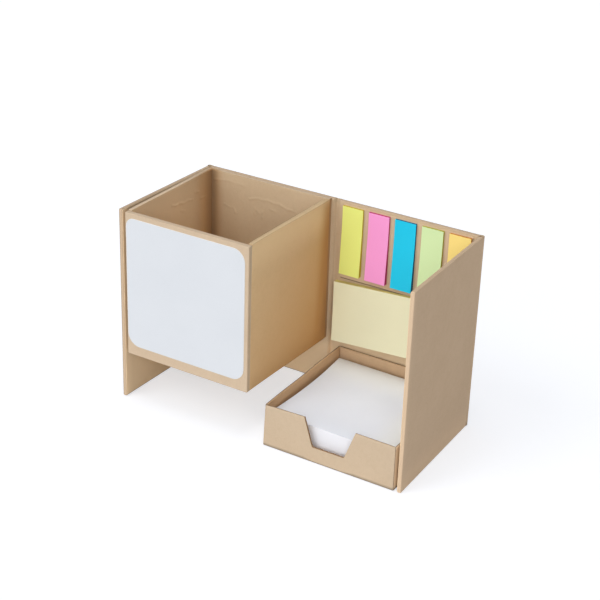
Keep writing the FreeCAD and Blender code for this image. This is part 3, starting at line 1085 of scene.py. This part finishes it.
def trayBend(p, corner, front):
    # the left wall leans in and the front wall's upper edge is not level
    look = memoTray
    x, y, high = (p.x - corner.x) / mm, (p.y - corner.y) / mm, min(1, p.z / look["tall"])
    p.x += between(y, look["lean"]) * mm * high ** look["leanPower"] * fade(x, *look["leanReach"])
    if front:
        p.z += between(x, look["frontRise"]) * mm * high
    else:
        sag, deep, wide = look["cornerSag"]
        p.z -= sag * mm * high * bell(y, deep) * bell(x, wide)
    return p


def makeTray():
    look = memoTray
    low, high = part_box("memo_tray")
    width, depth = high.x - low.x, high.y - low.y
    right, back = Vector((1, 0, 0)), Vector((0, 1, 0))
    turn, frontLeft = look["corners"], Vector((low.x, low.y, 0))
    walls = [
        # front, back, left, right: start, way, inwards, length, roundings of its ends, whether the outer side is
        # the far one, notch
        (frontLeft, right, back, width, turn["frontLeft"], turn["frontRight"], False, True),
        (Vector((low.x, high.y, 0)), right, -back, width, turn["backLeft"], turn["backRight"], True),
        (frontLeft, back, right, depth, turn["frontLeft"], turn["backLeft"], True),
        (Vector((high.x, low.y, 0)), back, -right, depth, turn["frontRight"], turn["backRight"], False),
    ]
    points, faces, kinds, edge, warm, pale = [], [], [], [], [], []
    for index, wall in enumerate(walls):
        some, someFaces, someKinds, someEdge = trayWall(*wall)
        faces += [[len(points) + v for v in face] for face in someFaces]
        points += [trayBend(p, low, index == 0) for p in some]
        kinds += someKinds
        edge += someEdge
        # painted warm shade on the left wall's inner face, painted light on the right wall's front end
        warm += [look["leftWarmth"] if index == 2 and p.x > low.x + look["warmInset"] else 0.0 for p in some]
        pale += [look["rightLight"] * fade(p.y - low.y, *look["rightReach"]) if index == 3 else 0.0
                 for p in some]
    inset = look["wall"] - look["floorLap"]
    size = Vector((width - 2 * inset, depth - 2 * inset, look["floor"]))
    some, someFaces, sides = roundedSlab(size, look["floorRadius"], look["floorPitch"])
    faces += [[len(points) + v for v in face] for face in someFaces]
    points += [frontLeft + Vector((inset, inset, 0)) + p for p in some]
    kinds += [1] * len(someFaces)
    flat = [0.0] * len(some)
    marks = {"edge": edge + flat, "warm": warm + flat, "pale": pale + flat}
    finishes = ["trayKraft", "trayInsideKraft", "cutKraft"]
    makePiece("memoTray", (points, faces, kinds), finishes, "memo_tray", "memo_half", marks)


makeTray()
print("memo tray made")

# memo sheets

leastTrim = 0.02 * mm

memoSheets = {
    **lengths(sheet=0.25, gap=0.006, jitter=0.003, pitch=3, hollow=2.0, curl=0.35, dip=0.9, corner=0.25),
    "carry": 0.8, "turn": 0.1, "seed": 31, "hollowRise": 1.4,
    "curlReach": (0.5, 1), "frontCurl": 0.035, "leftCurl": 0.05, "leftShare": 0.35,
    "backLight": (0.62, 0.98), "rightLight": (0.72, 0.98), "rightTone": 0.8,
}


def sheetLevels(tall):
    # the lower and upper face of each sheet: height, slide both ways, how far its edge is drawn in
    look = memoSheets
    draw, jitter, carry = random.Random(look["seed"]), look["jitter"], look["carry"]
    count = round(tall / look["sheet"])
    step = tall / count
    levels, shiftX, shiftY = [], 0, 0
    for i in range(count):
        shiftX = carry * shiftX + draw.uniform(-1, 1) * jitter
        shiftY = carry * shiftY + draw.uniform(-1, 1) * jitter
        pull = max(draw.uniform(0, 0.5) * jitter, leastTrim)
        gap = look["gap"] if i < count - 1 else 0
        levels += [(i * step, shiftX, shiftY, pull), ((i + 1) * step - gap, shiftX, shiftY, pull)]
    return levels


def makeSheets():
    look = memoSheets
    low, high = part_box("memo_block")
    size, middle = high - low, (low + high) / 2
    middle.z = 0
    levels = sheetLevels(size.z)
    spin = Matrix.Rotation(math.radians(look["turn"]), 3, "Z")

    def where(x, y, level, inner):
        z, dx, dy, pull = levels[level]
        u, v, t = x / size.x, y / size.y, z / size.z
        x += look["hollow"] * 4 * v * (1 - v) * (1 - u) ** 3 * smoothStep(t * look["hollowRise"])
        curl = bell(v, look["frontCurl"]) + look["leftShare"] * bell(u, look["leftCurl"])
        drop = look["curl"] * curl * fade(t, *look["curlReach"]) + look["dip"] * u * t
        flat = spin @ (Vector((low.x + x + dx, low.y + y + dy, 0)) - middle)
        return Vector((middle.x + flat.x, middle.y + flat.y, low.z + z - drop))

    points, faces, kinds = sheetMesh(size.x, size.y, look, [level[3] for level in levels], where)
    pale = [max(fade((p.y - low.y) / size.y, *look["backLight"]),
                look["rightTone"] * fade((p.x - low.x) / size.x, *look["rightLight"])) for p in points]
    finishes, marks = ["memoPaper", "memoEdge"], {"pale": pale}
    shape = points, faces, kinds
    piece = makePiece("memoSheets", shape, finishes, "memo_block", "memo_block", marks)
    piece.data.polygons.foreach_set("use_smooth", [kind == 0 for kind in kinds])


makeSheets()
print("memo sheets made")

# card with page markers, sticky pad

markerCard = {
    **lengths(corner=0.8, bevel=0.12, pitch=4, sink=0.02, lift=0.4, liftReach=(9, 0), edgeReach=(0.91, 0.21)),
    "liftWave": (0.7, 0.3, 70),
}


def makeCard():
    look = markerCard
    corner, along, up, width, height, thick = wallPlace("marker_card")
    bevel = look["bevel"]
    depths, trims = (look["sink"], thick - bevel, thick), (0, 0, bevel)

    def where(x, z, level, inner):
        steady, wavy, scale = look["liftWave"]
        lift = look["lift"] * fade(z, *look["liftReach"]) * (steady + wavy * math.cos(x * scale))
        return corner + along * x + up * z + Vector((0, -depths[level] - lift, 0))

    points, faces, kinds = sheetMesh(width, height, look, trims, where)
    # painted shade line along the card's lower edge
    edge = [fade(p.z - corner.z, *look["edgeReach"]) for p in points]
    shape = points, faces, kinds
    makePiece("markerCard", shape, ["cardKraft"], "marker_card", "memo_half", {"edge": edge})


leafShare = 0.85     # of the space between two leaves


def looseLeaves(look):
    # the back and front of each leaf of a pad: share of the thickness, how far it is drawn in, how far it slid
    draw = random.Random(look["seed"])
    levels = []
    for i in range(look["leaves"]):
        pull, slide = draw.uniform(0, 1) * look["jitter"], draw.uniform(-1, 1) * look["jitter"]
        front = (i + leafShare) / look["leaves"] if i < look["leaves"] - 1 else 1
        levels += [(i / look["leaves"], pull, slide), (front, pull, slide)]
    return levels, [max(pull, leastTrim) for share, pull, slide in levels]


def pressFlat(piece, anchor, share):
    # gives the piece a mesh of its own
    tuple(anchor)
    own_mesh(piece)


pageMarkers = {
    **lengths(gum=12, lift=1.5, backLift=0.1, thick=1.35, jitter=0.07, pitch=2.2, corner=0.25, sink=0.02,
              wave=0.03),
    "leaves": 9, "seed": 50, "waveScale": 120, "liftPower": 1.2, "pressed": 0.35,
    # roughness, specular and share of the clouds, then face and edge colours; the darker edge colours are the
    # film's own side colour with painted shade
    "faceLook": (0.5, 0.35, 0.3), "sideLook": (0.6, 0.3, 0.3),
    "colours": {
        "yellow": ((236, 243, 133), (200, 178, 50)),
        "pink": ((254, 162, 221), (190, 60, 110)),
        "blue": ((6, 204, 243), (8, 100, 140)),
        "green": ((215, 240, 181), (176, 172, 50)),
        "orange": ((254, 226, 133), (200, 130, 50)),
    },
}


def makeMarker(index, colour, face, side):
    node, look = "marker_" + colour, pageMarkers
    low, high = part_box(node)
    width, height = high.x - low.x, high.z - low.z
    levels, trims = looseLeaves(dict(look, seed=look["seed"] + index))
    loose, scale = height - look["gum"], look["waveScale"]

    def where(x, z, level, inner):
        share, pull, slide = levels[level]
        down = max(0, (loose - z) / loose) ** look["liftPower"]
        back, front = look["backLift"] * down, look["thick"] + look["lift"] * down
        depth = back + (front - back) * share + look["sink"]
        if level == len(levels) - 1:
            depth += look["wave"] * noise.noise(Vector((x * scale, z * scale, index)))
        return Vector((low.x + min(max(x + slide, 0), width), high.y - depth, low.z + z))

    shape = sheetMesh(width, height, look, trims, where)
    finishes = [colour + "Film", colour + "FilmEdge"]
    smoothPaper(finishes[0], face, *look["faceLook"])
    smoothPaper(finishes[1], side, *look["sideLook"])
    piece = makePiece(colour + "Markers", shape, finishes, node, "memo_half")
    pressFlat(piece, Vector((low.x, high.y, low.z)), look["pressed"])


stickyPad = {
    # its upper right corner lies over the card
    **lengths(jitter=0.05, pitch=4, corner=0.3, spread=0.25, sink=0.02, shift=(0.06, 0, 1.3), extraThick=1.0,
              hang=4.0, overCard=0.55, cardLap=0.5),
    "leaves": 14, "seed": 71, "turn": 1.5, "tall": 0.955, "hangPower": 1.3, "pressed": 0.14,
}


def makePad():
    corner, along, up, width, full, thick = wallPlace("sticky_pad")
    look, cardFoot = stickyPad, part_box("marker_card")[0].z
    height = full * look["tall"]
    corner += up * (full - height)
    top = corner + up * height
    spin = Matrix.Rotation(-math.radians(look["turn"]), 3, "Y")
    levels, trims = looseLeaves(look)

    def where(x, z, level, inner):
        share, pull, slide = levels[level]
        down = 1 - z / height
        # gummed along the top, it hangs off the wall below
        depth = look["sink"] + look["hang"] * down ** look["hangPower"]
        depth += (thick + look["extraThick"] - look["sink"]) * share + look["spread"] * down ** 2 * share
        spot = corner + along * (x + slide) + up * z
        turned = spin @ (spot - top) + top + Vector(look["shift"])
        if turned.z > cardFoot - look["cardLap"]:
            depth = max(depth, look["overCard"])
        return Vector((turned.x, corner.y - depth, turned.z))

    shape = sheetMesh(width, height, look, trims, where)
    piece = makePiece("stickyPad", shape, ["padPaper", "padEdge"], "sticky_pad", "memo_half")
    pressFlat(piece, corner, look["pressed"])


makeCard()
for index, (colour, (face, side)) in enumerate(pageMarkers["colours"].items()):
    makeMarker(index, colour, face, side)
makePad()
print("card, markers and pad made")
